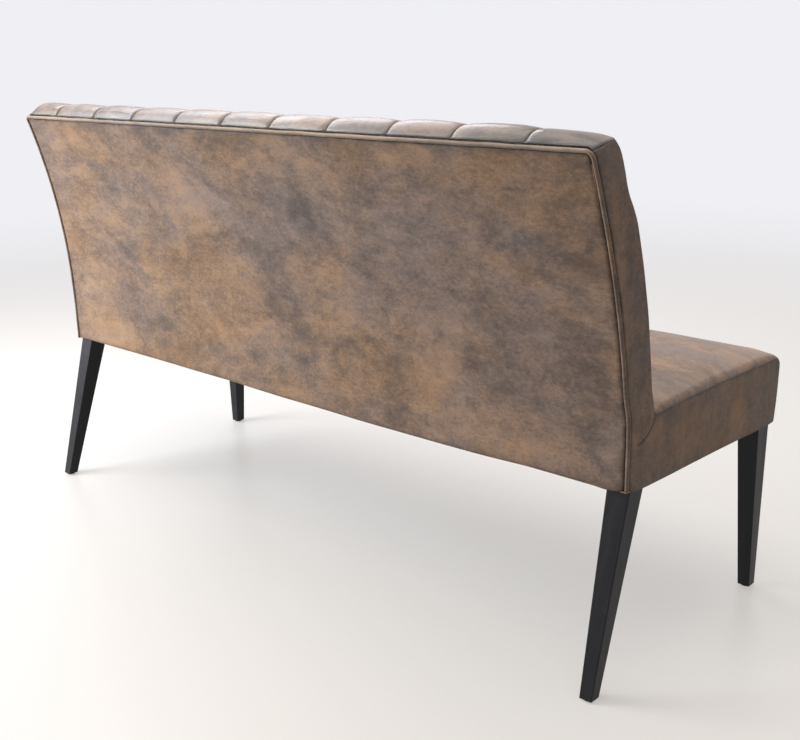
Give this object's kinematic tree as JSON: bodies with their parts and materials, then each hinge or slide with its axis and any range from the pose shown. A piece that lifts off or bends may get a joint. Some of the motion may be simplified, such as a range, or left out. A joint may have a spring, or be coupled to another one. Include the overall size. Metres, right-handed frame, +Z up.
{
  "type": "upholstered banquette bench",
  "caption": "Free-standing banquette bench with a channel-quilted reclined back, a crowned seat, a smooth piped rear panel and slim tapered dark legs.",
  "frame": {"origin": "on the floor, below the centre of the bench's overall length and depth", "axes": "+X along the length towards a sitter's left, +Y from the seat's front to the rear panel, +Z up"},
  "size_m": [1.602, 0.616, 0.9192],
  "materials": {
    "stained_leg": "black satin stain",
    "glide_plastic": "matte",
    "frame_wood": "planed beech",
    "hardboard": "smooth hardboard",
    "webbing": "woven elastic",
    "support_cloth": "plain cloth",
    "foam": "cut foam",
    "cover_fabric": "distressed leather-look microfibre",
    "piping_fabric": "distressed leather-look microfibre over cord",
    "dust_cloth": "spun-bonded cloth",
    "steel_fastener": "zinc plated"
  },
  "bodies": {
    "root": {"back_bolt_nuts": "steel_fastener", "back_bolts": "steel_fastener", "back_cover": "cover_fabric", "back_end_padding_left": "foam", "back_end_padding_right": "foam", "back_foam": "foam", "back_lower_rail_centre": "frame_wood", "back_lower_rail_left": "frame_wood", "back_lower_rail_right": "frame_wood", "back_middle_rail_centre": "frame_wood", "back_middle_rail_left": "frame_wood", "back_middle_rail_right": "frame_wood", "back_post_end_left": "frame_wood", "back_post_end_right": "frame_wood", "back_post_inner_left": "frame_wood", "back_post_inner_right": "frame_wood", "back_top_rail": "frame_wood", "back_webbing": "webbing", "corner_block_front_left": "frame_wood", "corner_block_front_right": "frame_wood", "corner_block_rear_left": "frame_wood", "corner_block_rear_right": "frame_wood", "corner_block_screws": "steel_fastener", "dust_cover": "dust_cloth", "frame_screws": "steel_fastener", "glide_front_left": "glide_plastic", "glide_front_right": "glide_plastic", "glide_rear_left": "glide_plastic", "glide_rear_right": "glide_plastic", "leg_bolts": "steel_fastener", "leg_front_left": "stained_leg", "leg_front_right": "stained_leg", "leg_inserts": "steel_fastener", "leg_rear_left": "stained_leg", "leg_rear_right": "stained_leg", "rear_board": "hardboard", "rear_cover": "cover_fabric", "rear_piping": "piping_fabric", "seat_cover": "cover_fabric", "seat_cross_rail_left": "frame_wood", "seat_cross_rail_right": "frame_wood", "seat_foam": "foam", "seat_front_padding": "foam", "seat_rail_front": "frame_wood", "seat_rail_rear": "frame_wood", "seat_side_padding_left": "foam", "seat_side_padding_right": "foam", "seat_support_cloth": "support_cloth", "seat_webbing": "webbing", "side_cover_left": "cover_fabric", "side_cover_right": "cover_fabric", "side_rail_left": "frame_wood", "side_rail_right": "frame_wood"}
  },
  "joints": []
}
